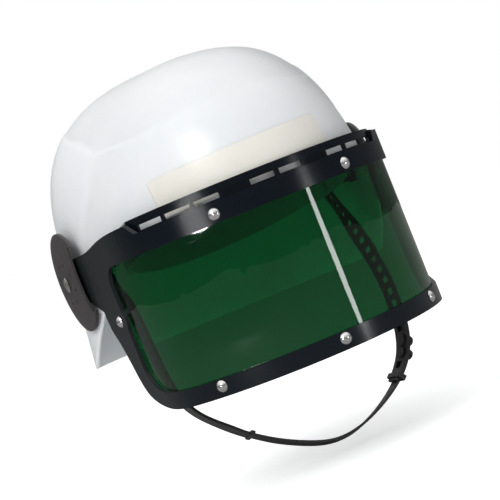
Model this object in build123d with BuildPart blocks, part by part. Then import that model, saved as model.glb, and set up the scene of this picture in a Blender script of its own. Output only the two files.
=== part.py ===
from build123d import *
from math import atan2, ceil, cos, degrees, pi, radians, sin, sqrt, tan
import os

os.makedirs("parts", exist_ok=True)

# Riot helmet with a swing-up green visor, in millimetres.
# It faces -Y, +Z is up and +X is the wearer's left. The origin lies on the middle plane
# at the height of the visor's pivots, just in front of the middle of the wearer's head.

# Head that the helmet fits
head_width = 165.0
head_length = 203.0
head_behind = 10.0

# Room from the head to the shell's outside: at the sides, the brow, the nape and the crown
side_room = 33.0
front_room = 21.0
back_room = 21.5
crown_room = 19.5

# Shell, a moulded dome with a face opening
shell_wall = 2.5
widest_behind = 68.0
crown_behind = 15.0
skirt_flare = 8.5
skirt_depth = 72.0
brow_edge = 3.0
cheek_front = 14.0
cheek_corner = 27.0
tip_behind = 74.0
tip_depth = 65.0
nape_depth = 68.0
rim_round = 9.0

# Visor: a curved frame whose ends run straight back to the pivots
visor_gap = 9.5
visor_inset = 7.5
visor_turn = 79.0
frame_wall = 2.6
frame_top = 13.5
frame_bottom = 105.9
top_bar = 13.8
bottom_bar = 12.1
window_rear = -20.0
bar_rear = 8.6
pivot_behind = 44.0
lens_wall = 1.5
lens_gap = 0.3
lens_margin = 8.0
lens_corner = 16.0

# Air strip above the visor's top bar
strip_setback = 5.4
strip_wall = 2.2
strip_top = 23.5
strip_turn = 64.0
ledge = 2.4
crest_front = -64.0
crest_slope = 7.0
slot_height = 3.6
slot_lift = 0.9
slot_turns = ((1.0, 10.5), (22.5, 32.5), (34.0, 45.0), (46.5, 58.0))
pocket_turns = (12.5, 20.5)
pocket_depth = 0.7

# Pivot stack at each ear
pin_radius = 3.0
pin_play = 0.1
boss_radius = 12.0
boss_rise = 1.6
washer_radius = 11.0
washer_wall = 0.9
face_gap = 0.1
hub_radius = 15.5
pin_head_radius = 6.0
pin_head_height = 2.0
cap_radius = 8.0
cap_wall = 3.0

# Ear disc, a hollow domed cap that turns with the visor
disc_radius = 37.5
disc_dome = 6.4
disc_rim = 2.4
disc_wall = 2.0
disc_yaw = 5.0
disc_chord = 24.0
disc_hub_radius = 9.0
disc_hole_radius = 1.25
disc_hole_ring = 15.0
disc_hole_count = 8

# Rivets of the lens
rivet_head_radius = 4.1
rivet_head_height = 2.3
rivet_radius = 1.7
rivet_play = 0.15
tail_radius = 3.2
tail_wall = 1.0
top_rivet_arc = 49.6
top_rivet_height = 5.7
bottom_rivet_arc = 88.6
bottom_rivet_height = -98.8
side_rivet_arc = 172.0
side_rivet_height = -37.5
lobe_radius = 10.6

# Front plate, a thin blank panel on the brow
plate_left = 70.0
plate_right = 47.0
plate_low = 17.0
plate_high = 43.5
plate_slant = 1.6
plate_wall = 0.6
plate_corner = 2.0

# Chin strap: a long strap with a narrow tongue, buttoned into a short holed strap
strap_inset = 25.5
strap_behind = 60.0
strap_lift = 2.0
strap_forward = 80.0
strap_drop = 166.0
strap_width = 14.0
strap_wall = 2.0
strap_turn_shares = (-0.45, 0.3, 0.1)
hole_pitch = 9.5
hole_length = 5.4
hole_width = 6.4
first_hole = 17.0
side_strap_length = 182.0
plain_length = 88.0
tongue_width = 10.0
tongue_wall = 1.8
tongue_overlap = 52.0
lip_length = 3.0
lip_rise = 0.8
strap_gap = 0.3
peg_radius = 2.1
peg_head_radius = 4.4
peg_head_height = 3.6
keeper_length = 4.0
keeper_wall = 0.8
keeper_play = 0.6
eye_radius = 9.0
post_radius = 2.8
post_stem_radius = 5.0
post_flange_radius = 7.0
post_head_radius = 5.4
post_head_wall = 2.0

# Headband, cradle and pads
band_wall = 1.8
band_height = 26.0
band_lift = 8.0
band_tilt = 8.0
band_gap = 0.4
front_tail = 46.0
nape_tail = 22.0
size_travel = 12.0
size_peg_radius = 2.4
size_peg_head = 4.2
size_peg_wall = 1.4
cradle_width = 18.0
cradle_wall = 1.2
cradle_top = 104.0
cradle_gap = 1.2
cradle_foot = 12.0
hanger_height = 12.0
hanger_width = 20.0
hanger_lift = 6.0
brow_pad_wall = 4.0
brow_pad_height = 30.0
brow_pad_half_width = 62.0
crown_pad_radius = 34.0
crown_pad_wall = 8.0

pad_turn_share, pad_crown_share, pad_side_share, pad_sag_share = 0.85, 0.86, 0.55, 0.28

# Reach of the cutting shapes past the piece that they cut, and where a round cap's arc is held
overrun = 60.0
cap_share = 0.5

# Outside of the shell, measured from the middle plane and from the origin
shell_half_width = head_width / 2 + side_room
shell_front = head_length / 2 - head_behind + front_room
shell_back = head_length / 2 + head_behind + back_room
shell_height = cradle_top + crown_room

# How the dome's sections shrink towards the crown
side_power, side_root = 2.67, 3.3
front_power, front_root = 2.44, 1.89
back_power, back_root = 3.57, 1.81
nose_power_low, nose_power_high = 1.95, 1.4
nape_power, round_power = 2.6, 2.0
crown_widest_share = 0.67
level_shares = (-0.6, -0.3, 0.0, 0.18, 0.35, 0.5, 0.63, 0.74, 0.83, 0.9, 0.95, 0.98, 0.998)
section_points = 28


def dome_section(level_share, inset):
    """One level outline of the dome: pointed towards the brow, fuller at the nape."""
    height = shell_height - inset
    rise = max(level_share, 0)
    drop = max(-level_share, 0) * shell_height
    side = (shell_half_width - inset) * (1 - rise**side_power) ** (1 / side_root)
    side += skirt_flare * drop / skirt_depth
    front = (1 - rise**front_power) ** (1 / front_root) * (shell_front - inset + crown_behind)
    back = (1 - rise**back_power) ** (1 / back_root) * (shell_back - inset - crown_behind)
    base_share = (shell_front + widest_behind) / (shell_front + shell_back)
    widest_share = base_share + (crown_widest_share - base_share) * rise
    widest = crown_behind - front + (front + back) * widest_share
    nose_power = nose_power_low + (nose_power_high - nose_power_low) * rise
    points = []
    for step in range(section_points):
        turn = 2 * pi * step / section_points
        across, along = sin(turn), cos(turn)
        if along > 0:
            power = nose_power + (round_power - nose_power) * along**4
            reach = widest - (crown_behind - front)
        else:
            power = nape_power
            reach = crown_behind + back - widest
        x = side * abs(across) ** (2 / power) * (1 if across > 0 else -1)
        y = widest - reach * abs(along) ** (2 / power) * (1 if along > 0 else -1)
        points.append((x, y))
    return level_share * height, points


def dome_sections(inset):
    """Level sections of the dome, drawn in by the inset, for a loft."""
    sections = []
    for level_share in level_shares:
        height, points = dome_section(level_share, inset)
        with BuildSketch(Plane.XY.offset(height)) as section:
            with BuildLine():
                Spline(*points, periodic=True)
            make_face()
        sections.append(section.sketch)
    return sections


def cap_point(radius, height, share):
    """A point of a round cap, at a share of its radius from the middle."""
    ball = (radius**2 + height**2) / (2 * height)
    across = radius * share
    return across, sqrt(ball**2 - across**2) - ball + height


def write(part, label):
    """Name a finished piece and write its file."""
    part.label = label
    export_step(part, "parts/" + label + ".step")


def mirrored(part):
    """The same piece on the other side of the helmet."""
    return mirror(part, about=Plane.YZ)


# Values worked out from the sizes above
pivot_share = (widest_behind - pivot_behind) / (shell_front + widest_behind)
pivot_wall = shell_half_width * (1 - pivot_share**nose_power_low) ** (1 / nose_power_low)
boss_face = pivot_wall + boss_rise
visor_radius = shell_half_width - visor_inset
visor_centre = visor_radius - shell_front - visor_gap
visor_rise = radians(90 - visor_turn)
bend_x = visor_radius * sin(radians(visor_turn))
bend_y = visor_centre - visor_radius * cos(radians(visor_turn))
hub_inner = boss_face + face_gap + washer_wall + face_gap
hub_outer = bend_x + (pivot_behind - bend_y) * tan(visor_rise)
disc_seat = hub_outer + face_gap
disc_face = disc_seat + disc_dome - disc_rim
window_top = frame_top - top_bar
window_bottom = -frame_bottom + bottom_bar
lens_outer = visor_radius - frame_wall - lens_gap
strap_half_width = shell_half_width - strap_inset


def visor_band(plane, outer_radius, wall, rear):
    """Plan of a wall that follows the visor's curve and runs straight back to the ears."""
    inner_radius = outer_radius - wall
    turn = radians(visor_turn)
    outline = []
    for radius in (outer_radius, inner_radius):
        x = radius * sin(turn)
        y = visor_centre - radius * cos(turn)
        outline.append((x, y, x + (rear - y) * tan(visor_rise)))
    (xo, yo, ro), (xi, yi, ri) = outline
    with BuildSketch(plane) as band:
        with BuildLine():
            ThreePointArc((-xo, yo), (0, visor_centre - outer_radius), (xo, yo))
            Line((xo, yo), (ro, rear))
            Line((ro, rear), (ri, rear))
            Line((ri, rear), (xi, yi))
            ThreePointArc((xi, yi), (0, visor_centre - inner_radius), (-xi, yi))
            Line((-xi, yi), (-ri, rear))
            Line((-ri, rear), (-ro, rear))
            Line((-ro, rear), (-xo, yo))
        make_face()
    return band.sketch


# Side view of the frame's rear outline, as shares of its depth below the hub
chin_curve_shares = ((0.0, 0.26), (0.075, 0.47), (0.165, 0.66), (0.3, 0.87), (0.52, 0.955), (1.0, 1.0))


def frame_outline():
    """Side view of the visor frame, from the front to the hub at the ear."""
    front = visor_centre - visor_radius - overrun
    low = -frame_bottom
    depth = bar_rear + frame_bottom - bottom_bar - top_bar - hub_radius
    rear = bar_rear
    curve = [(rear - depth * y, low * z) for y, z in chin_curve_shares]
    crest = strip_top - ledge
    neck = hub_radius
    crest_curve = ((bar_rear, neck), (window_rear, crest - ledge), (crest_front, crest))
    with BuildSketch(Plane.YZ) as outline:
        with BuildLine():
            Line((front, low), curve[-1])
            Spline(*reversed(curve), tangents=((1, 0), (0, 1)))
            Line(curve[0], (pivot_behind - hub_radius, -neck))
            Line((pivot_behind - hub_radius, -neck), (pivot_behind, -neck))
            ThreePointArc((pivot_behind, -neck), (pivot_behind + neck, 0), (pivot_behind, neck))
            Line((pivot_behind, neck), (bar_rear, neck))
            Spline(*crest_curve, tangents=((-1, 0), (-1, 0)))
            Line((crest_front, crest), (crest_front - crest_slope, frame_top))
            Line((crest_front - crest_slope, frame_top), (front, frame_top))
            Line((front, frame_top), (front, low))
        make_face()
    return outline.sketch


def seat_plane(arc, height, radius):
    """Plane on the visor's outside, its Z axis pointing out of the curve."""
    reach = abs(arc) / visor_radius
    side = 1 if arc > 0 else -1
    turn = radians(visor_turn)
    if reach <= turn:
        x = radius * sin(reach)
        y = visor_centre - radius * cos(reach)
        normal = (side * sin(reach), -cos(reach), 0)
    else:
        along = abs(arc) - turn * visor_radius
        x = radius * sin(turn) + along * cos(turn)
        y = visor_centre - radius * cos(turn) + along * sin(turn)
        normal = (side * sin(turn), -cos(turn), 0)
    return Plane(origin=(side * x, y, height), x_dir=(0, 0, 1), z_dir=normal)


rivet_seats = {
    "lens_rivets_top": [(side * top_rivet_arc, top_rivet_height) for side in (-1, 1)],
    "lens_rivets_bottom": [(step * bottom_rivet_arc, bottom_rivet_height) for step in (-1, 0, 1)],
    "lens_rivets_side": [(side * side_rivet_arc, side_rivet_height) for side in (-1, 1)],
}
all_rivets = [seat for seats in rivet_seats.values() for seat in seats]

# Shell
with BuildPart() as shell:
    loft(dome_sections(0))
    for side in (-1, 1):
        with BuildSketch(Plane.YZ.offset(side * (boss_face - boss_radius / 2))):
            with Locations((pivot_behind, 0)):
                Circle(boss_radius)
        extrude(amount=side * boss_radius / 2)
    loft(dome_sections(shell_wall), mode=Mode.SUBTRACT)
    rim_front = -shell_front - overrun
    rim_back = shell_back + overrun
    with BuildSketch(Plane.YZ) as below_rim:
        with BuildLine():
            rim = Polyline(
                (rim_front, brow_edge),
                (cheek_front - cheek_corner, brow_edge),
                (cheek_front, -cheek_corner),
                (tip_behind, -tip_depth),
                (rim_back, -nape_depth),
                (rim_back, -skirt_depth - overrun),
                (rim_front, -skirt_depth - overrun),
                (rim_front, brow_edge),
            )
        make_face()
        bends = below_rim.vertices().filter_by_position(Axis.X, rim_front / 2, rim_back / 2)
        fillet(bends, rim_round)
    extrude(amount=shell_half_width + overrun, both=True, mode=Mode.SUBTRACT)
    with BuildSketch(Plane.YZ):
        with Locations((pivot_behind, 0)):
            Circle(pin_radius + pin_play)
    extrude(amount=shell_half_width + overrun, both=True, mode=Mode.SUBTRACT)
write(shell.part, "shell")

# Front plate, stuck to the brow
with BuildPart() as front_plate:
    loft(dome_sections(-face_gap - plate_wall))
    loft(dome_sections(-face_gap), mode=Mode.SUBTRACT)
    plate_middle = (plate_right - plate_left) / 2
    plate_centre = (plate_low + plate_high) / 2
    with BuildSketch(Plane.XZ):
        with Locations(Location((plate_middle, plate_centre), plate_slant)):
            RectangleRounded(plate_left + plate_right, plate_high - plate_low, plate_corner)
    extrude(amount=shell_front + overrun, mode=Mode.INTERSECT)
write(front_plate.part, "front_plate")

# Visor frame: window frame, arms, hubs and the air strip in one moulding
with BuildPart() as visor_frame:
    low_plane = Plane.XY.offset(-frame_bottom)
    wall_plan = visor_band(low_plane, visor_radius, frame_wall, pivot_behind + hub_radius)
    extrude(wall_plan, amount=frame_bottom + strip_top)
    extrude(frame_outline(), amount=visor_radius + overrun, both=True, mode=Mode.INTERSECT)

    corner_top = top_bar
    corner_low = 2 * bottom_bar
    corner_long = 4 * bottom_bar
    window_front = visor_centre - visor_radius - overrun
    with BuildSketch(Plane.YZ):
        with BuildLine():
            Line((window_front, window_top), (window_rear - corner_top, window_top))
            RadiusArc(
                (window_rear - corner_top, window_top),
                (window_rear, window_top - corner_top),
                corner_top,
            )
            Line((window_rear, window_top - corner_top), (window_rear, window_bottom + corner_low))
            Spline(
                (window_rear, window_bottom + corner_low),
                (window_rear - corner_long, window_bottom),
                tangents=((0, -1), (-1, 0)),
            )
            Line((window_rear - corner_long, window_bottom), (window_front, window_bottom))
            Line((window_front, window_bottom), (window_front, window_top))
        make_face()
        lobe_seat = seat_plane(side_rivet_arc, side_rivet_height, visor_radius)
        with Locations((lobe_seat.origin.Y, side_rivet_height)):
            Circle(lobe_radius, mode=Mode.SUBTRACT)
    extrude(amount=visor_radius + overrun, both=True, mode=Mode.SUBTRACT)

    strip_outer = visor_radius - strip_setback
    strip_inner = strip_outer - strip_wall
    strip_low = frame_top - ledge
    strip_plane = Plane.XY.offset(strip_low)
    ring_centre = Location((0, visor_centre))
    with BuildSketch(strip_plane) as strip_sector:
        with Locations(ring_centre):
            Circle(strip_outer)
            Circle(strip_inner, mode=Mode.SUBTRACT)
        with BuildLine():
            far = visor_radius + overrun
            edge_x, edge_y = far * sin(radians(strip_turn)), far * cos(radians(strip_turn))
            Polyline(
                (0, visor_centre),
                (edge_x, visor_centre - edge_y),
                (edge_x, visor_centre - far),
                (-edge_x, visor_centre - far),
                (-edge_x, visor_centre - edge_y),
                (0, visor_centre),
            )
        make_face(mode=Mode.INTERSECT)
    extrude(amount=strip_top - strip_low)
    with BuildSketch(strip_plane) as ledge_sector:
        with Locations(ring_centre):
            Circle(visor_radius - frame_wall / 2)
            Circle(strip_outer - strip_wall / 2, mode=Mode.SUBTRACT)
        with BuildLine():
            Polyline(
                (0, visor_centre),
                (edge_x, visor_centre - edge_y),
                (edge_x, visor_centre - far),
                (-edge_x, visor_centre - far),
                (-edge_x, visor_centre - edge_y),
                (0, visor_centre),
            )
        make_face(mode=Mode.INTERSECT)
    extrude(amount=ledge)
    for side in (-1, 1):
        web_turn = radians(strip_turn)
        web_plane = Plane(
            origin=(side * strip_inner * sin(web_turn), visor_centre - strip_inner * cos(web_turn), 0),
            x_dir=(side * sin(web_turn), -cos(web_turn), 0),
            z_dir=(side * cos(web_turn), sin(web_turn), 0),
        )
        web_side = 1 if web_plane.y_dir.Z > 0 else -1
        with BuildSketch(web_plane):
            with BuildLine():
                Polyline(
                    (0, web_side * strip_low),
                    (visor_radius - frame_wall / 2 - strip_inner, web_side * strip_low),
                    (visor_radius - frame_wall / 2 - strip_inner, web_side * (strip_top - ledge)),
                    (0, web_side * strip_top),
                    close=True,
                )
            make_face()
        extrude(amount=strip_wall, both=True)

    # Slots in three groups, with a shallow pocket between the groups
    for first, last in slot_turns + (pocket_turns,):
        middle = radians((first + last) / 2)
        length = 2 * strip_outer * sin(radians((last - first) / 2))
        depth = pocket_depth if (first, last) == pocket_turns else strip_wall * 2
        for side in (-1, 1):
            slot_plane = Plane(
                origin=(
                    side * strip_outer * sin(middle),
                    visor_centre - strip_outer * cos(middle),
                    frame_top + slot_lift + slot_height / 2,
                ),
                x_dir=(0, 0, 1),
                z_dir=(side * sin(middle), -cos(middle), 0),
            )
            with BuildSketch(slot_plane):
                Rectangle(slot_height, length)
            extrude(amount=-depth, mode=Mode.SUBTRACT)

    for side in (-1, 1):
        with BuildSketch(Plane.YZ.offset(side * hub_outer)):
            with Locations((pivot_behind, 0)):
                Circle(hub_radius)
        extrude(amount=side * overrun / 2, mode=Mode.SUBTRACT)
        with BuildSketch(Plane.YZ.offset(side * hub_inner)) as hub_face:
            with Locations((pivot_behind, 0)):
                Circle(hub_radius)
        extrude(hub_face.sketch, amount=-side * overrun / 2, mode=Mode.SUBTRACT)
        extrude(hub_face.sketch, amount=side * (hub_outer - hub_inner))
    with BuildSketch(Plane.YZ):
        with Locations((pivot_behind, 0)):
            Circle(pin_radius + pin_play)
    extrude(amount=visor_radius + overrun, both=True, mode=Mode.SUBTRACT)
    for arc, height in all_rivets:
        with BuildSketch(seat_plane(arc, height, visor_radius + frame_wall)):
            Circle(rivet_radius + rivet_play)
        extrude(amount=-frame_wall * 3, mode=Mode.SUBTRACT)
write(visor_frame.part, "visor_frame")

# Lens, a clear green sheet behind the frame
with BuildPart() as visor_lens:
    lens_plan = visor_band(low_plane, lens_outer, lens_wall, pivot_behind)
    extrude(lens_plan, amount=frame_bottom + frame_top)
    with BuildSketch(Plane.YZ):
        with BuildLine():
            lens_front = visor_centre - visor_radius - overrun
            lens_top = window_top + lens_margin
            lens_low = window_bottom - lens_margin
            lens_rear = window_rear + 2 * lens_margin
            low_turn = window_bottom + 2 * bottom_bar
            low_reach = window_rear - 4 * bottom_bar
            Line((lens_front, lens_top), (lens_rear - lens_corner, lens_top))
            RadiusArc((lens_rear - lens_corner, lens_top), (lens_rear, lens_top - lens_corner), lens_corner)
            Line((lens_rear, lens_top - lens_corner), (lens_rear, low_turn))
            Spline((lens_rear, low_turn), (low_reach, lens_low), tangents=((0, -1), (-1, 0)))
            Line((low_reach, lens_low), (lens_front, lens_low))
            Line((lens_front, lens_low), (lens_front, lens_top))
        make_face()
    extrude(amount=visor_radius + overrun, both=True, mode=Mode.INTERSECT)
    for arc, height in all_rivets:
        with BuildSketch(seat_plane(arc, height, visor_radius)):
            Circle(rivet_radius + rivet_play)
        extrude(amount=-(frame_wall + lens_wall) * 2, mode=Mode.SUBTRACT)
write(visor_lens.part, "visor_lens")

# Lens rivets: domed head outside, shank through frame and lens, set tail inside
for label, seats in rivet_seats.items():
    with BuildPart() as lens_rivets:
        for arc, height in seats:
            seat = seat_plane(arc, height, visor_radius + face_gap)
            stack = face_gap * 2 + frame_wall + lens_gap + lens_wall
            profile_plane = Plane(origin=seat.origin, x_dir=seat.x_dir, z_dir=seat.y_dir)
            up = 1 if profile_plane.y_dir.dot(seat.z_dir) > 0 else -1
            with BuildSketch(profile_plane):
                with BuildLine():
                    Line((0, up * rivet_head_height), (0, -up * (stack + tail_wall)))
                    Line((0, -up * (stack + tail_wall)), (tail_radius, -up * (stack + tail_wall)))
                    Line((tail_radius, -up * (stack + tail_wall)), (tail_radius, -up * stack))
                    Line((tail_radius, -up * stack), (rivet_radius, -up * stack))
                    Line((rivet_radius, -up * stack), (rivet_radius, 0))
                    Line((rivet_radius, 0), (rivet_head_radius, 0))
                    dome_x, dome_y = cap_point(rivet_head_radius, rivet_head_height, cap_share)
                    dome_top = (0, up * rivet_head_height)
                    ThreePointArc((rivet_head_radius, 0), (dome_x, up * dome_y), dome_top)
                make_face()
            revolve(axis=Axis(seat.origin, seat.z_dir))
    write(lens_rivets.part, label)

# Ear disc: hollow dome, notched in front where the arm leaves it
with BuildPart() as ear_disc_left:
    yaw = radians(disc_yaw)
    outward = Vector(cos(yaw), -sin(yaw), 0)
    disc_origin = Vector(disc_face - disc_dome, pivot_behind, 0)
    dome_plane = Plane(origin=disc_origin, x_dir=(0, 0, 1), z_dir=outward.cross(Vector(0, 0, 1)))
    out = 1 if dome_plane.y_dir.dot(outward) > 0 else -1
    mid_across, mid_rise = cap_point(disc_radius, disc_dome - disc_rim, cap_share)
    mid_outer = (mid_across, out * (disc_rim + mid_rise))
    inner_radius = disc_radius - disc_wall
    inner_rim = disc_rim - disc_wall / 2
    in_across, in_rise = cap_point(inner_radius, disc_dome - disc_wall - inner_rim, cap_share)
    mid_inner = (in_across, out * (inner_rim + in_rise))
    with BuildSketch(dome_plane):
        with BuildLine():
            ThreePointArc((0, out * disc_dome), mid_outer, (disc_radius, out * disc_rim))
            Line((disc_radius, out * disc_rim), (disc_radius, 0))
            Line((disc_radius, 0), (inner_radius, 0))
            Line((inner_radius, 0), (inner_radius, out * inner_rim))
            ThreePointArc((inner_radius, out * inner_rim), mid_inner, (0, out * (disc_dome - disc_wall)))
            Line((0, out * (disc_dome - disc_wall)), (0, out * disc_dome))
        make_face()
    revolve(axis=Axis(disc_origin, outward))
    with BuildSketch(Plane.YZ.offset(disc_seat)):
        with Locations((pivot_behind, 0)):
            Circle(disc_hub_radius)
    extrude(amount=disc_face - disc_seat - disc_wall / 2)
    with BuildSketch(Plane.YZ.offset(disc_face)):
        with Locations((pivot_behind, 0)):
            Circle(pin_head_radius + disc_wall / 2)
    extrude(amount=disc_wall, mode=Mode.SUBTRACT)
    with BuildSketch(Plane.YZ.offset(disc_seat - disc_dome)):
        with Locations((pivot_behind - disc_chord - disc_radius / 2, 0)):
            Rectangle(disc_radius, disc_chord * 2)
        with Locations((pivot_behind, 0)):
            Circle(pin_radius + pin_play)
            with PolarLocations(disc_hole_ring, disc_hole_count, start_angle=180 / disc_hole_count):
                Circle(disc_hole_radius)
    extrude(amount=disc_dome * 3, mode=Mode.SUBTRACT)
    smooth_edges = ear_disc_left.edges().filter_by(GeomType.CIRCLE).sort_by(SortBy.RADIUS)
    fillet(smooth_edges.filter_by(lambda e: abs(e.radius - disc_radius) < face_gap), disc_wall / 3)
write(ear_disc_left.part, "ear_disc_left")
write(mirrored(ear_disc_left.part), "ear_disc_right")

# Pivot pin with a low domed head, and the cap that holds it inside the shell
pin_inner = pivot_wall - shell_wall - cap_wall
with BuildPart() as pivot_pin_left:
    head_seat = disc_face + face_gap
    with BuildSketch(Plane.XY):
        with BuildLine():
            Line((head_seat + pin_head_height, pivot_behind), (pin_inner, pivot_behind))
            Line((pin_inner, pivot_behind), (pin_inner, pivot_behind + pin_radius))
            Line((pin_inner, pivot_behind + pin_radius), (head_seat, pivot_behind + pin_radius))
            Line((head_seat, pivot_behind + pin_radius), (head_seat, pivot_behind + pin_head_radius))
            half_out, half_up = cap_point(pin_head_radius, pin_head_height, cap_share)
            ThreePointArc(
                (head_seat, pivot_behind + pin_head_radius),
                (head_seat + half_up, pivot_behind + half_out),
                (head_seat + pin_head_height, pivot_behind),
            )
        make_face()
    revolve(axis=Axis((0, pivot_behind, 0), (1, 0, 0)))
write(pivot_pin_left.part, "pivot_pin_left")
write(mirrored(pivot_pin_left.part), "pivot_pin_right")

with BuildPart() as pivot_washer_left:
    with BuildSketch(Plane.YZ.offset(boss_face + face_gap)):
        with Locations((pivot_behind, 0)):
            Circle(washer_radius)
            Circle(pin_radius + pin_play, mode=Mode.SUBTRACT)
    extrude(amount=washer_wall)
write(pivot_washer_left.part, "pivot_washer_left")
write(mirrored(pivot_washer_left.part), "pivot_washer_right")

with BuildPart() as pivot_cap_left:
    with BuildSketch(Plane.YZ.offset(pin_inner)):
        with Locations((pivot_behind, 0)):
            RegularPolygon(cap_radius, 6)
            Circle(pin_radius + pin_play, mode=Mode.SUBTRACT)
    extrude(amount=cap_wall * 2)
    loft(dome_sections(shell_wall + face_gap), mode=Mode.INTERSECT)
write(pivot_cap_left.part, "pivot_cap_left")
write(mirrored(pivot_cap_left.part), "pivot_cap_right")

# Chin strap route, from the left post round under the chin to the right post: shares of the
# way out to the left, forwards and down
route_shares = (
    (1.0, 0.0, 0.0),
    (1.0, 0.125, 0.082),
    (1.0, 0.35, 0.232),
    (0.99, 0.6, 0.402),
    (0.968, 0.75, 0.561),
    (0.918, 0.825, 0.709),
    (0.82, 0.888, 0.828),
    (0.66, 0.925, 0.915),
    (0.48, 0.95, 0.974),
    (0.25, 0.975, 1.025),
    (0.0, 0.99, 1.04),
    (-0.206, 1.0, 1.009),
    (-0.44, 0.99, 0.947),
    (-0.672, 0.975, 0.861),
    (-0.84, 0.938, 0.777),
    (-0.965, 0.87, 0.69),
    (-1.02, 0.76, 0.575),
    (-1.02, 0.6, 0.43),
    (-1.0, 0.35, 0.238),
    (-1.0, 0.125, 0.082),
    (-1.0, 0.0, 0.0),
)


def route_point(across, forward, drop):
    """A point of the strap's route from its shares."""
    x = across * strap_half_width
    return x, strap_behind - forward * strap_forward, strap_lift - drop * strap_drop


with BuildLine() as strap_route:
    Spline(*[route_point(*shares) for shares in route_shares])
route = strap_route.edges()[0]


def strap_plane(distance, lift):
    """Plane across the strap at a distance along it: X is its width, Y its outward face."""
    share = distance / route.length
    point, along = route.position_at(share), route.tangent_at(share)
    from_post = min(distance, route.length - distance)
    start = min(1, max(0, from_post - 2 * strap_width) / (2 * strap_width))
    left_turn, low_turn, right_turn = strap_turn_shares
    reach = min(1, (point.X / strap_half_width) ** 2)
    turn = low_turn * (1 - reach) + (left_turn if point.X > 0 else right_turn) * reach
    level = (Vector(0, 1, 0) - along * along.Y).normalized()
    width = (level + along.cross(level) * turn * start).normalized()
    return Plane(origin=point + along.cross(width) * lift, x_dir=width, z_dir=along)


def tongue_lift(distance):
    """How far the tongue stands off the route: not at its root, and wholly on the short strap."""
    root = route.length - side_strap_length
    share = (root - distance) / (root - side_strap_length - strap_width)
    return strip_lift * min(1, max(0, share))


def ribbon_sections(first, last, width, wall, lifted):
    """Cross sections of a flat ribbon along the route, for a loft."""
    count = ceil(abs(last - first) / strap_width) + 1
    sections = []
    for step in range(count):
        distance = first + (last - first) * step / (count - 1)
        with BuildSketch(strap_plane(distance, tongue_lift(distance) if lifted else 0)) as section:
            Rectangle(width, wall)
        sections.append(section.sketch)
    return sections


def across_strap(distance, lift):
    """Plane on the strap's face, its Z axis pointing outwards."""
    plane = strap_plane(distance, lift)
    return Plane(origin=plane.origin, x_dir=plane.x_dir, z_dir=plane.y_dir)


hole_count = int((side_strap_length - first_hole) / hole_pitch)
hole_places = [first_hole + hole_pitch * step for step in range(hole_count)]
upper_places = [place for place in hole_places if place < side_strap_length - plain_length]
peg_places = hole_places[-3:-1]
strip_lift = strap_wall / 2 + strap_gap + tongue_wall / 2



def from_post(side, distance):
    """Distance along the route of a place measured from the left or the right post."""
    return distance if side > 0 else route.length - distance


# Both straps turn on their posts by the eyes at their upper ends
for label, side, places in (("short_strap", 1, hole_places), ("long_strap", -1, upper_places)):
    with BuildPart() as strap:
        wide = from_post(side, eye_radius), from_post(side, side_strap_length)
        loft(ribbon_sections(*wide, strap_width, strap_wall, False))
        strap_start = route.tangent_at(0) if side > 0 else -route.tangent_at(1)
        strap_slope = degrees(atan2(-strap_start.Z, -strap_start.Y))
        with BuildSketch(Plane.YZ.offset(side * (strap_half_width - strap_wall / 2))):
            with Locations((strap_behind, strap_lift)):
                Circle(eye_radius)
            with Locations(Location((strap_behind, strap_lift), strap_slope)):
                Rectangle(eye_radius * 2, strap_width, align=(Align.MAX, Align.CENTER))
        extrude(amount=side * strap_wall)
        with BuildSketch(Plane.YZ.offset(side * (strap_half_width - strap_wall))):
            with Locations((strap_behind, strap_lift)):
                Circle(post_radius + pin_play)
        extrude(amount=side * strap_wall * 2, mode=Mode.SUBTRACT)
        for place in places:
            with BuildSketch(across_strap(from_post(side, place), 0)):
                Rectangle(hole_width, hole_length)
            extrude(amount=strap_wall, both=True, mode=Mode.SUBTRACT)
        if side < 0:
            # A lip ends its wide part, and the tongue runs on under the chin to the short strap
            with BuildSketch(strap_plane(from_post(side, side_strap_length), 0)):
                Rectangle(strap_width + 2 * lip_rise, strap_wall + 2 * lip_rise)
            extrude(amount=lip_length)
            tongue_root = from_post(side, side_strap_length - strap_width)
            tongue_end = side_strap_length - tongue_overlap
            loft(ribbon_sections(tongue_root, tongue_end, tongue_width, tongue_wall, True))
            for place in peg_places:
                with BuildSketch(across_strap(place, strip_lift)):
                    Circle(peg_radius + pin_play)
                extrude(amount=tongue_wall, both=True, mode=Mode.SUBTRACT)
    write(strap.part, label)

# Pegs that button the tongue into the short strap's holes
with BuildPart() as strap_pegs:
    for place in peg_places:
        outer_face = strip_lift + tongue_wall / 2 + strap_gap
        inner_face = -strap_wall / 2 - strap_gap
        with BuildSketch(across_strap(place, inner_face)):
            Circle(peg_radius)
        extrude(amount=outer_face - inner_face)
        with BuildSketch(across_strap(place, inner_face)):
            Circle(peg_head_radius)
        extrude(amount=-tail_wall)
        with BuildSketch(across_strap(place, outer_face)):
            Circle(peg_head_radius)
        extrude(amount=peg_head_height, taper=degrees(atan2(peg_radius / 2, peg_head_height)))
write(strap_pegs.part, "strap_pegs")

# Keeper loop at the end of the short strap, holding the tongue against it
with BuildPart() as strap_keeper:
    keeper_place = side_strap_length - keeper_length
    opening_width = strap_width + 2 * keeper_play
    opening_depth = strap_wall + strap_gap + tongue_wall + 2 * keeper_play
    keeper_plane = strap_plane(keeper_place - keeper_length / 2, (tongue_wall + strap_gap) / 2)
    with BuildSketch(keeper_plane):
        Rectangle(opening_width + 2 * keeper_wall, opening_depth + 2 * keeper_wall)
        Rectangle(opening_width, opening_depth, mode=Mode.SUBTRACT)
    extrude(amount=keeper_length)
write(strap_keeper.part, "strap_keeper")

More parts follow.
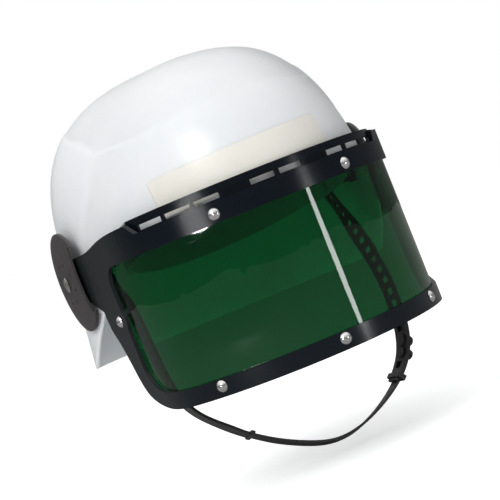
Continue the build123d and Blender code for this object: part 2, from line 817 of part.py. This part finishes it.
# Post that carries the strap inside the shell
with BuildPart() as strap_post_left:
    wall_face = shell_half_width + shell_wall
    flange_face = shell_half_width - 2 * shell_wall - post_head_wall
    post_axis = Axis((0, strap_behind, strap_lift), (1, 0, 0))
    shoulder = strap_half_width + strap_wall / 2 + strap_gap
    head_face = strap_half_width - strap_wall / 2 - strap_gap
    with BuildSketch(Plane.XY.offset(strap_lift)):
        with BuildLine():
            Polyline(
                (wall_face, strap_behind),
                (wall_face, strap_behind + post_flange_radius),
                (flange_face, strap_behind + post_flange_radius),
                (flange_face, strap_behind + post_stem_radius),
                (shoulder, strap_behind + post_stem_radius),
                (shoulder, strap_behind + post_radius),
                (head_face, strap_behind + post_radius),
                (head_face, strap_behind + post_head_radius),
                (head_face - post_head_wall, strap_behind + post_head_radius),
                (head_face - post_head_wall, strap_behind),
                close=True,
            )
        make_face()
    revolve(axis=post_axis)
    loft(dome_sections(shell_wall), mode=Mode.INTERSECT)
write(strap_post_left.part, "strap_post_left")
write(mirrored(strap_post_left.part), "strap_post_right")

# Headband on a plane that drops towards the nape
band_normal = (0, sin(radians(band_tilt)), cos(radians(band_tilt)))
band_plane = Plane(origin=(0, head_behind, band_lift), x_dir=(1, 0, 0), z_dir=band_normal)
band_side = Plane(origin=band_plane.origin, x_dir=band_plane.y_dir, z_dir=(1, 0, 0))
half_x, half_y = head_width / 2, head_length / 2


def band_ring(gap, wall):
    """An oval ring round the head, standing off it by a gap."""
    Ellipse(half_x + gap + wall, half_y + gap + wall)
    Ellipse(half_x + gap, half_y + gap, mode=Mode.SUBTRACT)


front_gap = band_wall + band_gap
peg_behind = (front_tail + nape_tail) / 2
size_slot = size_travel + 2 * size_peg_radius + 2 * band_gap
with BuildPart() as headband:
    with BuildSketch(band_plane):
        band_ring(front_gap, band_wall)
        with Locations((0, front_tail + overrun)):
            Rectangle(head_width + overrun, overrun * 2, mode=Mode.SUBTRACT)
    extrude(amount=band_height / 2, both=True)
    with BuildSketch(band_side):
        with Locations((peg_behind - size_travel / 2, 0)):
            SlotOverall(size_slot, 2 * size_peg_radius + 2 * band_gap)
    extrude(amount=head_width, both=True, mode=Mode.SUBTRACT)
write(headband.part, "headband")

# Nape band, whose tails slide inside the headband to set the size
with BuildPart() as nape_band:
    with BuildSketch(band_plane):
        band_ring(0, band_wall)
        with Locations((0, nape_tail - overrun * 2)):
            Rectangle(head_width + overrun, overrun * 4, mode=Mode.SUBTRACT)
    extrude(amount=band_height / 2 - band_wall, both=True)
    with BuildSketch(band_side):
        with Locations((peg_behind, 0)):
            Circle(size_peg_radius + pin_play)
    extrude(amount=head_width, both=True, mode=Mode.SUBTRACT)
write(nape_band.part, "nape_band")

# Size pegs, carried by the nape band's tails and sliding in the headband's slots
with BuildPart() as size_pegs:
    behind_most = (peg_behind + size_peg_head) / half_y
    front_most = (peg_behind - size_travel - size_peg_head) / (half_y + front_gap + band_wall)
    inner_x = half_x * sqrt(1 - behind_most**2) - face_gap
    outer_x = (half_x + front_gap + band_wall) * sqrt(1 - front_most**2) + strap_gap + face_gap
    for side in (-1, 1):
        with BuildSketch(band_side.offset(side * (inner_x - size_peg_wall))):
            with Locations((peg_behind, 0)):
                Circle(size_peg_head)
        extrude(amount=side * size_peg_wall)
        with BuildSketch(band_side.offset(side * inner_x)):
            with Locations((peg_behind, 0)):
                Circle(size_peg_radius)
        extrude(amount=side * (outer_x - inner_x))
        with BuildSketch(band_side.offset(side * outer_x)):
            with Locations((peg_behind, 0)):
                Circle(size_peg_head)
        extrude(amount=side * size_peg_wall)
write(size_pegs.part, "size_pegs")


def arch(plane, half_span, bend_start, top, wall):
    """Side view of a flat strap: two straight feet and half an oval over the head."""
    with BuildSketch(plane) as bend:
        with Locations((0, bend_start)):
            Ellipse(half_span + wall, top - bend_start + wall)
            Ellipse(half_span, top - bend_start, mode=Mode.SUBTRACT)
        with Locations((0, bend_start - top)):
            Rectangle(4 * half_span, 2 * top, mode=Mode.SUBTRACT)
        for side in (-1, 1):
            with Locations((side * (half_span + wall / 2), (bend_start + cradle_foot) / 2)):
                Rectangle(wall, bend_start - cradle_foot)
    return bend.sketch


# Cradle: two straps crossing over the crown
cradle_middle = Plane.XZ.offset(-head_behind)
cross_span = half_x + front_gap + band_wall + cradle_gap
long_span = half_y + front_gap + band_wall + cradle_gap
cross_start = band_lift + band_height / 2 + band_wall
long_start = band_lift + band_height + band_wall
long_top = cradle_top + cradle_wall + strap_gap
long_middle = Plane(origin=(0, head_behind, 0), x_dir=(0, 1, 0), z_dir=(1, 0, 0))
cross_bend = arch(cradle_middle, cross_span, cross_start, cradle_top, cradle_wall)
long_bend = arch(long_middle, long_span, long_start, long_top, cradle_wall)
with BuildPart() as cradle_cross:
    extrude(cross_bend, amount=cradle_width / 2, both=True)
write(cradle_cross.part, "cradle_cross")

with BuildPart() as cradle_long:
    extrude(long_bend, amount=cradle_width / 2, both=True)
write(cradle_long.part, "cradle_long")

# Blocks between the headband and the shell's wall, slotted for the cradle's four feet
with BuildPart() as hangers:
    loft(dome_sections(shell_wall))
    with BuildSketch(Plane.XY.offset(band_lift + hanger_lift)):
        with Locations((0, head_behind)):
            Rectangle(hanger_width, head_length + overrun)
            Rectangle(head_width + overrun, hanger_width)
    extrude(amount=hanger_height, mode=Mode.INTERSECT)
    with BuildSketch(band_plane):
        Ellipse(half_x + front_gap + band_wall + face_gap, half_y + front_gap + band_wall + face_gap)
    extrude(amount=band_height * 3, both=True, mode=Mode.SUBTRACT)
    for bend_plane, span in ((cradle_middle, cross_span), (long_middle, long_span)):
        with BuildSketch(bend_plane):
            for side in (-1, 1):
                with Locations((side * (span + cradle_wall / 2), cradle_top / 2)):
                    Rectangle(cradle_wall + 2 * face_gap, cradle_top)
        extrude(amount=cradle_width / 2 + face_gap, both=True, mode=Mode.SUBTRACT)
write(hangers.part, "hangers")

# Soft pads: a brow pad inside the headband and a crown pad under the cradle
with BuildPart() as brow_pad:
    with BuildSketch(band_plane):
        band_ring(front_gap - strap_gap - brow_pad_wall, brow_pad_wall)
        with Locations((0, -half_y)):
            Rectangle(2 * brow_pad_half_width, half_y, mode=Mode.INTERSECT)
    extrude(amount=brow_pad_height / 2, both=True)
    rim_reach = brow_pad_half_width - strap_gap
    pad_rims = brow_pad.edges().filter_by(lambda edge: abs(edge.center().X) < rim_reach)
    fillet(pad_rims, brow_pad_wall / 3)
write(brow_pad.part, "brow_pad")

with BuildPart() as crown_pad:
    pad_face = cradle_top - strap_gap
    pad_drop = (cradle_top - cross_start) * (1 - sqrt(1 - (crown_pad_radius / cross_span) ** 2))
    pad_turn = crown_pad_radius * pad_turn_share
    turn_drop = pad_drop * pad_turn_share**2
    pad_rim = pad_face - pad_drop - crown_pad_wall * pad_side_share
    with BuildSketch(Plane.XZ.offset(-head_behind)):
        with BuildLine():
            Line((0, pad_face), (0, pad_face - crown_pad_wall))
            Spline(
                (0, pad_face - crown_pad_wall),
                (pad_turn, pad_face - turn_drop - crown_pad_wall * pad_crown_share),
                (crown_pad_radius, pad_rim),
                tangents=((1, 0), (0, 1)),
            )
            Spline(
                (crown_pad_radius, pad_rim),
                (pad_turn, pad_face - turn_drop - crown_pad_wall * pad_sag_share),
                (0, pad_face),
                tangents=((0, 1), (-1, 0)),
            )
        make_face()
    revolve(axis=Axis((0, head_behind, 0), (0, 0, 1)))
write(crown_pad.part, "crown_pad")
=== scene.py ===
import math

import bmesh
import bpy
import numpy as np
from mathutils import Matrix, Vector


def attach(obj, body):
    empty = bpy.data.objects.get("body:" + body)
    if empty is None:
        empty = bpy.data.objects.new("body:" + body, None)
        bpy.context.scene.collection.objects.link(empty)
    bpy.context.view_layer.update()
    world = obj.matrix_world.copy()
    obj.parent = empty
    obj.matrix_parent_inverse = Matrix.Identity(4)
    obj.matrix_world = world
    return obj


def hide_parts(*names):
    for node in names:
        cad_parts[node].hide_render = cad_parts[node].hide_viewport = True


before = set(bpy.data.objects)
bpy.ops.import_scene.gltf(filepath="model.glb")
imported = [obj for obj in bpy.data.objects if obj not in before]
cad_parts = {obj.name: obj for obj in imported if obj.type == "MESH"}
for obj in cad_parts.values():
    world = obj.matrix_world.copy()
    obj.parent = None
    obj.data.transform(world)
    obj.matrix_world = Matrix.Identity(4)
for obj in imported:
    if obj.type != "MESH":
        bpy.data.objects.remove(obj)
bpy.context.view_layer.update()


# Shell: one dome of white moulded plastic, 2.5 mm thick, with a flared neck guard and an open
# face. Soft creases that the mould leaves run round the crown and down behind the temples.
class Value:
    """A number that varies over a surface: arithmetic on it adds Math nodes."""

    def __init__(self, surface, socket):
        self.surface, self.socket = surface, socket

    def math(self, operation, *others):
        """The result of a Math node with this value first."""
        inputs = dict(enumerate((self,) + others))
        made = self.surface.node("ShaderNodeMath", {"operation": operation}, inputs)
        return Value(self.surface, made.outputs[0])

    def __add__(self, other):
        return self.math("ADD", other)

    def __rsub__(self, other):
        return (self * -1).math("ADD", other)

    def __mul__(self, other):
        return self.math("MULTIPLY", other)

    __radd__, __rmul__ = __add__, __mul__

    def between(self, low, high):
        """0 below low, 1 above high, and smooth between them."""
        settings = {"interpolation_type": "SMOOTHSTEP"}
        inputs = {"Value": self, "From Min": low, "From Max": high}
        made = self.surface.node("ShaderNodeMapRange", settings, inputs)
        return Value(self.surface, made.outputs[0])


class Surface:
    """A material, or the sky's, under construction on its main shader."""

    def __init__(self, name, sky=False, **inputs):
        self.name = name
        self.material = (bpy.data.worlds if sky else bpy.data.materials).new(name)
        self.material.use_nodes = True
        self.tree = self.material.node_tree
        self.shader = self.tree.nodes["Background" if sky else "Principled BSDF"]
        self.place = self.node("ShaderNodeTexCoord").outputs["Generated" if sky else "Object"]
        self.set(**inputs)

    def plug(self, socket, value):
        """Give a socket a number, a colour or a link."""
        if isinstance(value, Value):
            value = value.socket
        if isinstance(value, bpy.types.NodeSocket):
            self.tree.links.new(value, socket)
        else:
            socket.default_value = value

    def node(self, kind, settings=None, inputs=None):
        """Add a node, with its settings first and then its sockets."""
        made = self.tree.nodes.new(kind)
        for key, value in (settings or {}).items():
            setattr(made, key, value)
        for key, value in (inputs or {}).items():
            self.plug(made.inputs[key], value)
        return made

    def set(self, **inputs):
        """Fill the shader's sockets, named with _ for a space."""
        for key, value in inputs.items():
            self.plug(self.shader.inputs[key.replace("_", " ")], value)

    def along(self, direction):
        """How far a point lies along a direction, in metres."""
        inputs = {0: self.place, 1: direction}
        made = self.node("ShaderNodeVectorMath", {"operation": "DOT_PRODUCT"}, inputs)
        return Value(self, made.outputs["Value"])

    def noise(self, scale, detail=3.0, stretch=(1, 1, 1)):
        """Cloudy pattern in object space: scale is in blobs per metre."""
        mapping = self.node("ShaderNodeMapping", None, {"Vector": self.place, "Scale": stretch})
        inputs = {"Vector": mapping.outputs[0], "Scale": scale, "Detail": detail}
        return Value(self, self.node("ShaderNodeTexNoise", None, inputs).outputs[0])

    def mix(self, factor, low, high):
        """Blend of two colours."""
        made = self.node("ShaderNodeMix", {"data_type": "RGBA"})
        for place, value in ((0, factor), (6, low), (7, high)):
            self.plug(made.inputs[place], value)
        return made.outputs[2]

    def bump(self, height, strength, distance):
        """Raise the surface where height is 1, by distance metres."""
        inputs = {"Height": height, "Strength": strength, "Distance": distance}
        self.set(Normal=self.node("ShaderNodeBump", None, inputs).outputs[0])


def finish_piece(name, mesh, surface, smooth=True):
    """Put a mesh into the scene at the origin, under its material."""
    mesh.polygons.foreach_set("use_smooth", np.full(len(mesh.polygons), smooth))
    mesh.materials.clear()
    mesh.materials.append(surface.material)
    made = bpy.data.objects.new(name, mesh)
    bpy.context.scene.collection.objects.link(made)
    return made


def capped(name, rows, first, last, surface):
    """Closed surface of ring rows (mm), from the point first over all rows to the point last."""
    count, width = rows.shape[:2]
    points = np.concatenate([rows.reshape(-1, 3), [first], [last]]) / 1000
    ring = np.arange(width)
    after = (ring + 1) % width
    start = (np.arange(count - 1) * width)[:, None]
    quads = np.stack([start + ring, start + after, start + width + after, start + width + ring], -1)
    top = np.stack([np.full(width, count * width), after, ring], -1)
    base = (count - 1) * width
    low = np.stack([np.full(width, count * width + 1), base + ring, base + after], -1)
    faces = quads.reshape(-1, 4).tolist() + top.tolist() + low.tolist()
    mesh = bpy.data.meshes.new(name)
    mesh.from_pydata(points.tolist(), [], faces)
    return finish_piece(name, mesh, surface)


def smooth_step(value, low, high):
    """0 below low, 1 above high: 3 s^2 - 2 s^3 between them."""
    share = np.clip((value - low) / (high - low), 0, 1)
    return share * share * (3 - 2 * share)


# Sizes in mm: half width, reach to the front and rear, height, the places behind the origin of
# the widest section and of the crown, and the wall. The skirt spreads by its flare over its depth.
shell_width, shell_front, shell_rear, shell_height = 115.5, 112.5, 133.0, 123.5
widest_behind, crown_behind, shell_wall = 68.0, 15.0, 2.5
skirt_flare, skirt_depth = 8.5, 72.0
# Powers of the oval at the front, low down and at the crown, and of the one behind, and the
# share of the length at which the crown is widest.
nose_low, nose_crown, rear_power, crown_widest_share = 1.95, 1.4, 2.6, 0.67


def dome(turn, height, inset):
    """Points of the dome in mm: at each height a half oval in front of the widest place and a
    half superellipse behind it, all shrinking towards the crown as (1 - t^m)^(1/k)."""
    t = np.clip(height / shell_height, 0, 1 - 1e-7)
    side = (shell_width - inset) * (1 - t**2.67) ** (1 / 3.3)
    side = side + skirt_flare * np.maximum(-height, 0) / skirt_depth
    front = (shell_front - inset + crown_behind) * (1 - t**2.44) ** (1 / 1.89)
    rear = (shell_rear - inset - crown_behind) * (1 - t**3.57) ** (1 / 1.81)
    share = (shell_front + widest_behind) / (shell_front + shell_rear)
    widest = crown_behind - front + (front + rear) * (share + (crown_widest_share - share) * t)
    across, along = np.sin(turn), np.cos(turn)
    nose = nose_low + (nose_crown - nose_low) * t
    power = np.where(along > 0, nose + (2 - nose) * along**4, rear_power)
    reach = np.where(along > 0, widest - (crown_behind - front), crown_behind + rear - widest)
    x = side * np.sign(across) * np.abs(across) ** (2 / power)
    y = widest - reach * np.sign(along) * np.abs(along) ** (2 / power)
    return np.stack([x, y, height - inset * t], -1)


def rim_height(turn):
    """Height of the rim at each turn: where the dome meets the rounded zigzag that the rim
    makes in a side view, found by halving the span between the skirt's end and the brow."""
    ys = np.arange(-200, 194, 0.5)
    brow, cheek, tip, nape = (-13, 3), (14, -27), (74, -65), (193, -68)
    zs = np.interp(ys, *zip((-200, brow[1]), brow, cheek, tip, nape))
    rounding = 12
    kernel = np.hanning(2 * rounding + 1)
    zs = np.convolve(np.pad(zs, rounding, mode="edge"), kernel / kernel.sum(), "valid")
    low, high = np.full(turn.shape, -skirt_depth), np.full(turn.shape, 10.0)
    for _ in range(30):
        middle = (low + high) / 2
        above = middle > np.interp(dome(turn, middle, 0)[..., 1], ys, zs)
        high, low = np.where(above, middle, high), np.where(above, low, middle)
    return (low + high) / 2


crown_step, temple_fold = 1.1, 0.9


def creases(turn, height):
    """How far the skin lies in behind the plain dome, in mm: crown_step above the crease round
    the crown, and temple_fold at the edge behind each temple, fading out forwards."""
    degrees = np.degrees(np.abs((turn + np.pi) % (2 * np.pi) - np.pi))
    places = [0, 24, 41, 56, 65, 86, 120, 180]
    crown_line = np.interp(degrees, places, [79, 76, 73.5, 76, 89, 101, 110, 114])
    strength = np.interp(degrees, [0, 20, 45, 90, 130, 180], [0.1, 0.5, 1, 1, 0.3, 0])
    cap = crown_step * strength * smooth_step(height, crown_line - 1.5, crown_line + 2.5)
    edge = np.interp(height, [0, 29, 52, 76], [78, 71, 63, 56])
    fold = smooth_step(edge - degrees, -1.5, 2.5) * (1 - smooth_step(edge - degrees, 3, 30))
    fold *= (1 - smooth_step(height, crown_line - 4, crown_line + 1)) * smooth_step(height, 4, 30)
    return cap + temple_fold * fold


# The skin stays just inside the CAD dome: first_drop at its top, side_play at its sides, and a
# little more near the crown. The rim is rounded over by rim_drop.
first_drop, side_play, crown_play, rim_drop = 0.05, 0.05, 0.25, 0.9
turns = np.linspace(0, 2 * np.pi, 288, endpoint=False)
rim = rim_height(turns)
down = np.linspace(0.02, 1, 120)[:, None]
first_height = shell_height - first_drop
outer_heights = first_height + (rim - first_height) * (down**3 + down**2) / 2
outer = dome(turns, outer_heights, side_play + creases(turns, outer_heights))
outer[..., 2] -= crown_play * (1 - down) ** 2
inner_heights = outer_heights[::-2]
inner = dome(turns, inner_heights, shell_wall)
bend = np.linspace(0, np.pi, 5)[1:-1][:, None, None]
round_edge = (outer[-1] + inner[0]) / 2 + (outer[-1] - inner[0]) / 2 * np.cos(bend)
round_edge[..., 2] -= rim_drop * np.sin(bend[..., 0])
rows = np.concatenate([outer, round_edge, inner])
white_shade, white_light = (0.84, 0.87, 0.905, 1), (0.88, 0.905, 0.93, 1)
shell_paint = Surface("shell_white", Coat_Weight=0.15, Coat_Roughness=0.15)
shell_paint.set(Subsurface_Weight=0.6, Subsurface_Radius=(1, 1, 1), Subsurface_Scale=0.006)
clouds = shell_paint.noise(18)
shell_paint.set(Base_Color=shell_paint.mix(clouds.between(0.35, 0.7), white_shade, white_light))
shell_paint.set(Roughness=clouds * 0.12 + 0.26)
shell_paint.bump(shell_paint.noise(900, 2), 0.06, 0.0004)
top, under = outer[0].mean(0), inner[-1].mean(0)
shell = capped("shell_skin", rows, top, under, shell_paint)
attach(shell, "shell")
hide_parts("shell")


# Front panel: a thin cream plastic sheet that carries the label, stuck round the brow, a
# little to the wearer's right.
def dressed(node, surface, body, bevel=0.0, sharp=35):
    """A smooth copy of a CAD node: doubles merged, flat faces joined, edges past sharp degrees
    rounded by bevel metres."""
    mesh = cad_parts[node].data.copy()
    work = bmesh.new()
    work.from_mesh(mesh)
    bmesh.ops.remove_doubles(work, verts=work.verts, dist=1e-6)
    flat, corner = math.radians(0.5), math.radians(sharp)
    bmesh.ops.dissolve_limit(work, angle_limit=flat, verts=work.verts, edges=work.edges)
    for edge in work.edges:
        edge.smooth = len(edge.link_faces) == 2 and edge.calc_face_angle(0) < corner
    work.to_mesh(mesh)
    work.free()
    made = finish_piece(node + "_skin", mesh, surface)
    if bevel:
        rounding = made.modifiers.new("rounding", "BEVEL")
        rounding.width = bevel
        rounding.segments = 2
        rounding.limit_method = "ANGLE"
        rounding.angle_limit = corner
        rounding.harden_normals = True
    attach(made, body)
    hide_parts(node)


# Widths in metres of the edges' rounding, on the thinnest pieces, most others and the frame.
thin_rounding, small_rounding, frame_rounding = 0.0002, 0.0003, 0.0006
cream_shade, cream_light = (0.79, 0.775, 0.7, 1), (0.84, 0.825, 0.755, 1)
plate_paint = Surface("plate_cream", Roughness=0.35)
plate_paint.set(Base_Color=plate_paint.mix(plate_paint.noise(120), cream_shade, cream_light))
dressed("front_plate", plate_paint, "shell", thin_rounding)

# Visor frame: one black plastic moulding, glossy round the window and satin on the arms, its
# edges slightly rounded, with rub marks from handling. Its hubs turn on the pivot pins.
frame_gloss, frame_satin = (0.002, 0.005, 0.009, 1), (0.012, 0.015, 0.016, 1)
frame_paint = Surface("frame_black", Specular_IOR_Level=0.35)
scuffs = frame_paint.noise(60, 4)
arm = frame_paint.along((0, 1, 0)).between(-0.075, -0.03)
frame_paint.set(Base_Color=frame_paint.mix(arm, frame_gloss, frame_satin))
frame_paint.set(Roughness=scuffs * 0.12 + arm * 0.16 + 0.14)
frame_paint.bump(frame_paint.noise(1200, 2), 0.06, 0.0003)
dressed("visor_frame", frame_paint, "visor", frame_rounding)

# Lens: one bent sheet of clear dark green plastic with faint scratches, held behind the frame
# by rivets.
green_deep, green_light = (0.001, 0.14, 0.033, 1), (0.003, 0.19, 0.05, 1)
lens_paint = Surface("lens_green", IOR=1.45, Transmission_Weight=1.0)
lens_paint.set(Base_Color=lens_paint.mix(lens_paint.noise(14, 2), green_deep, green_light))
scratches = lens_paint.noise(160, 5, stretch=(1, 1, 5)).between(0.62, 0.8)
lens_paint.set(Roughness=scratches * 0.12 + 0.012)
dressed("visor_lens", lens_paint, "visor", sharp=40)

# Lens rivets: chromed metal with domed heads, put through the frame and the lens and set
# behind it.
chrome = Surface("rivet_chrome", Base_Color=(0.8, 0.78, 0.78, 1), Metallic=1.0)
chrome.set(Roughness=chrome.noise(800) * 0.2 + 0.06)
for place in ("top", "bottom", "side"):
    dressed("lens_rivets_" + place, chrome, "visor", sharp=50)

# Ear discs of dark satin plastic on steel pins, with nylon washers under them, caps inside
# the shell that hold the pins, and the posts that carry the chin strap.
disc_paint = Surface("disc_dark", Base_Color=(0.042, 0.038, 0.037, 1))
disc_paint.bump(disc_paint.noise(1500, 2), 0.15, 0.0003)
disc_paint.set(Roughness=disc_paint.noise(90) * 0.25 + 0.35)
steel = Surface("pin_steel", Base_Color=(0.5, 0.49, 0.47, 1), Metallic=1.0)
steel.set(Roughness=steel.noise(700) * 0.3 + 0.25)
nylon = Surface("washer_nylon", Base_Color=(0.75, 0.75, 0.72, 1))
nylon.set(Roughness=nylon.noise(300) * 0.2 + 0.4)
for side in ("left", "right"):
    dressed("ear_disc_" + side, disc_paint, "visor", small_rounding)
    dressed("pivot_pin_" + side, steel, "shell", sharp=50)
    dressed("pivot_washer_" + side, nylon, "shell", thin_rounding)
    dressed("pivot_cap_" + side, disc_paint, "shell", small_rounding)
    dressed("strap_post_" + side, disc_paint, "shell", small_rounding)

# Chin strap: flexible black plastic, a long strap whose tongue is buttoned into the holes of
# the short one by two pegs and held flat by a keeper.
strap_black, strap_worn = (0.01, 0.011, 0.01, 1), (0.022, 0.022, 0.02, 1)
strap_paint = Surface("strap_rubber")
strap_marks = strap_paint.noise(150)
strap_paint.set(Base_Color=strap_paint.mix(strap_marks, strap_black, strap_worn))
strap_paint.set(Roughness=strap_marks * 0.25 + 0.3)
strap_paint.bump(strap_paint.noise(1300), 0.15, 0.0003)
for node in ("short_strap", "long_strap", "strap_pegs", "strap_keeper"):
    dressed(node, strap_paint, "chin_strap", small_rounding)

# Headband and nape band of pale moulded plastic, with the pegs that set the size and the
# blocks that stand them off the shell.
band_paint = Surface("band_grey", Base_Color=(0.62, 0.63, 0.62, 1))
band_paint.set(Roughness=band_paint.noise(120) * 0.2 + 0.4)
for body, nodes in (("shell", ("headband", "hangers")), ("nape", ("nape_band", "size_pegs"))):
    for node in nodes:
        dressed(node, band_paint, body, small_rounding)

# Cradle: two woven fabric straps that cross over the head and hook into the blocks. Their
# weave repeats every 1.8 mm.
weave_per_metre = 3500
web_paint = Surface("cradle_web", Base_Color=(0.55, 0.55, 0.53, 1))
threads = (web_paint.along((1, 0, 0)) * weave_per_metre).math("SINE")
threads = threads * (web_paint.along((0, 1, 0)) * weave_per_metre).math("SINE")
web_paint.set(Roughness=web_paint.noise(400) * 0.1 + 0.8)
web_paint.bump(threads * 0.5 + 0.5, 0.4, 0.0003)
for node in ("cradle_cross", "cradle_long"):
    dressed(node, web_paint, "shell", thin_rounding)

# Crown pad: a round cushion of cloth-faced foam under the cradle, sewn down along a ring and
# two crossing seams.
pad_paint = Surface("pad_foam", Base_Color=(0.6, 0.6, 0.58, 1))
pad_paint.set(Roughness=pad_paint.noise(300) * 0.1 + 0.85)
pad_paint.bump(pad_paint.noise(2200, 2), 0.35, 0.0003)


def soft_power(value, power):
    """Power of a value that keeps its sign, for squared-off rounds."""
    return np.sign(value) * np.abs(value) ** power


# Sizes in mm: the pad's radius, half thickness, loss of it at the edge and middle height, its
# ring and width of seam, the half width and height of the crown that it lies on, and how far
# the middle of the head lies behind the origin.
pad_radius, pad_half, edge_loss, pad_level = 33.6, 3.2, 0.3, 99.7
seam_radius, seam_width, seam_depth_share = 19, 1.6, 0.4
crown_width, crown_rise, head_behind = 87.7, 81.2, 10
section = np.linspace(0, np.pi, 42)[1:-1][:, None]
spin = np.linspace(0, 2 * np.pi, 96, endpoint=False)
reach = pad_radius * np.sin(section) ** 0.55 + 0 * spin
across_pad, along_pad = reach * np.sin(spin), reach * np.cos(spin)
from_cross = np.minimum(np.abs(across_pad), np.abs(along_pad))
seam = np.exp(-(((reach - seam_radius) / seam_width) ** 2))
seam = np.maximum(seam, np.exp(-((from_cross / seam_width) ** 2)))
sag = crown_rise * (1 - np.sqrt(1 - (reach / crown_width) ** 2))
puff = soft_power(np.cos(section), 0.55) * (pad_half - edge_loss * reach / pad_radius)
puff = puff * (1 - seam_depth_share * seam)
crown_rows = np.stack([across_pad, along_pad + head_behind, pad_level - sag + puff], -1)
crown_top, crown_low = crown_rows[0].mean(0), crown_rows[-1].mean(0)
crown_pad = capped("crown_pad_skin", crown_rows, crown_top, crown_low, pad_paint)
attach(crown_pad, "shell")
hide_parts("crown_pad")

# Brow pad: a strip of the same foam inside the front of the headband, sewn down every
# 20 mm, so that it swells between the seams.

# Sizes in mm: half the width and length of the oval that its middle follows, how far it reaches
# to each side, its half thickness and height, its seams, and the height and tilt of the band.
oval_width, oval_length, side_reach = 82.4, 101.4, 61.4
brow_half, brow_rise, band_level, tilt = 1.85, 14.6, 8, math.radians(8)
seam_pitch, seam_width, seam_depth_share, half_run = 20, 1.8, 0.4, 61
step = np.linspace(-1, 1, 130)[:, None]
side_angle = step * np.arcsin(side_reach / oval_width)
section = np.linspace(0, 2 * np.pi, 48, endpoint=False)
ends = (1 - np.abs(step) ** 16 + 1e-4) ** 0.5
from_seam = (step * half_run + seam_pitch / 2) % seam_pitch - seam_pitch / 2
swell = 1 - seam_depth_share * np.exp(-((from_seam / seam_width) ** 2))
off = brow_half * soft_power(np.cos(section), 0.5) * ends * swell
lift = brow_rise * soft_power(np.sin(section), 0.5) * (0.9 + 0.1 * ends)
out_x, out_y = (oval_width + off) * np.sin(side_angle), -(oval_length + off) * np.cos(side_angle)
brow_y = head_behind + out_y * math.cos(tilt) + lift * math.sin(tilt)
brow_z = band_level - out_y * math.sin(tilt) + lift * math.cos(tilt)
brow_rows = np.stack([out_x, brow_y, brow_z], -1)
first_end, last_end = brow_rows[0].mean(0), brow_rows[-1].mean(0)
brow_pad = capped("brow_pad_skin", brow_rows, first_end, last_end, pad_paint)
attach(brow_pad, "shell")
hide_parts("brow_pad")

# Camera: stands a metre in front of the helmet, a little to its right, and is rolled, so
# that the helmet leans in the picture as if it lay on its cheek.
camera_data = bpy.data.cameras.new("camera")
camera_data.sensor_width = 36
camera_data.lens = 104.1
camera_data.clip_start = 0.05
aim, camera_distance = Vector((-0.02688, -0.086, -0.02415)), 0.94613
azimuth, elevation, roll = (math.radians(angle) for angle in (-16.65, 0.67, 21.81))
back = Vector((math.sin(azimuth), -math.cos(azimuth), 0)) * math.cos(elevation)
back.z = math.sin(elevation)
level = Vector((math.cos(azimuth), math.sin(azimuth), 0))
right = math.cos(roll) * level - math.sin(roll) * back.cross(level)
up = math.sin(roll) * level + math.cos(roll) * back.cross(level)
camera = bpy.data.objects.new("camera", camera_data)
camera.matrix_world = Matrix((right, up, back)).transposed().to_4x4()
camera.location = aim + camera_distance * back
bpy.context.scene.collection.objects.link(camera)
bpy.context.scene.camera = camera
bpy.context.scene.view_settings.view_transform = "Standard"

# Floor: a wide level white sheet just under the hanging chin strap, that stays white for the
# camera, keeps the helmet's soft shadow and shows darker in the lens.
floor_height, floor_reach = -0.18, 6
floor_sides = ((-1, -1), (1, -1), (1, 1), (-1, 1))
floor_points = [(x * floor_reach, y * floor_reach, floor_height) for x, y in floor_sides]
floor_shade, lens_shade = (0.8, 0.8, 0.81, 1), (0.32, 0.32, 0.32, 1)
black, white = (0, 0, 0, 1), (1, 1, 1, 1)
floor_paint = Surface("floor_white", Roughness=1.0, Specular_IOR_Level=0.0, Emission_Strength=0.55)
rays = floor_paint.node("ShaderNodeLightPath").outputs
mirrored = Value(floor_paint, rays["Is Glossy Ray"])
in_lens = mirrored.math("MAXIMUM", rays["Is Transmission Ray"])
floor_paint.set(Base_Color=floor_paint.mix(in_lens, floor_shade, lens_shade))
floor_paint.set(Emission_Color=floor_paint.mix(rays["Is Camera Ray"], black, white))
floor_mesh = bpy.data.meshes.new("floor")
floor_mesh.from_pydata(floor_points, [], [(0, 1, 2, 3)])
floor = finish_piece("floor", floor_mesh, floor_paint, smooth=False)

# Sky: a plain soft light, strongest from above and a little from the left of the picture, and
# white to the camera.
sky = Surface("sky", sky=True, Color=(1, 1, 1, 1))
overhead = sky.along(0.93 * up - 0.35 * right).between(-0.05, 1.0) * 0.97 + 0.1
camera_ray = Value(sky, sky.node("ShaderNodeLightPath").outputs["Is Camera Ray"])
sky.set(Strength=camera_ray * (1 - overhead) + overhead)
bpy.context.scene.world = sky.material


# Lights: a large soft one above and to the left, a tall strip whose reflection runs down the
# lens, and a long narrow one that glints on the frame's top bar.
def panel_light(name, target, direction, distance, size, power):
    """An oval soft light of size metres and power watts, at a distance from its target, in a
    direction given as right, up and back in camera axes."""
    data = bpy.data.lights.new(name, "AREA")
    data.shape = "ELLIPSE"
    data.size, data.size_y = size
    data.energy = power
    made = bpy.data.objects.new(name, data)
    way = (direction[0] * right + direction[1] * up + direction[2] * back).normalized()
    made.matrix_world = (-way).to_track_quat("-Z", "Y").to_matrix().to_4x4()
    made.location = Vector(target) + way * distance
    made.visible_camera = made.visible_transmission = False
    bpy.context.scene.collection.objects.link(made)


panel_light("key", (0, 0, 0), (-0.7, 0.45, 0.75), 1.9, (0.9, 0.9), 12.5)
panel_light("strip", (0.014, -0.118, -0.049), (0.75, 0.25, 0.61), 0.55, (0.044, 0.21), 0.3)
panel_light("glint", (-0.058, -0.103, -0.002), (-0.535, -0.203, 0.815), 1.6, (0.6, 0.02), 2.2)
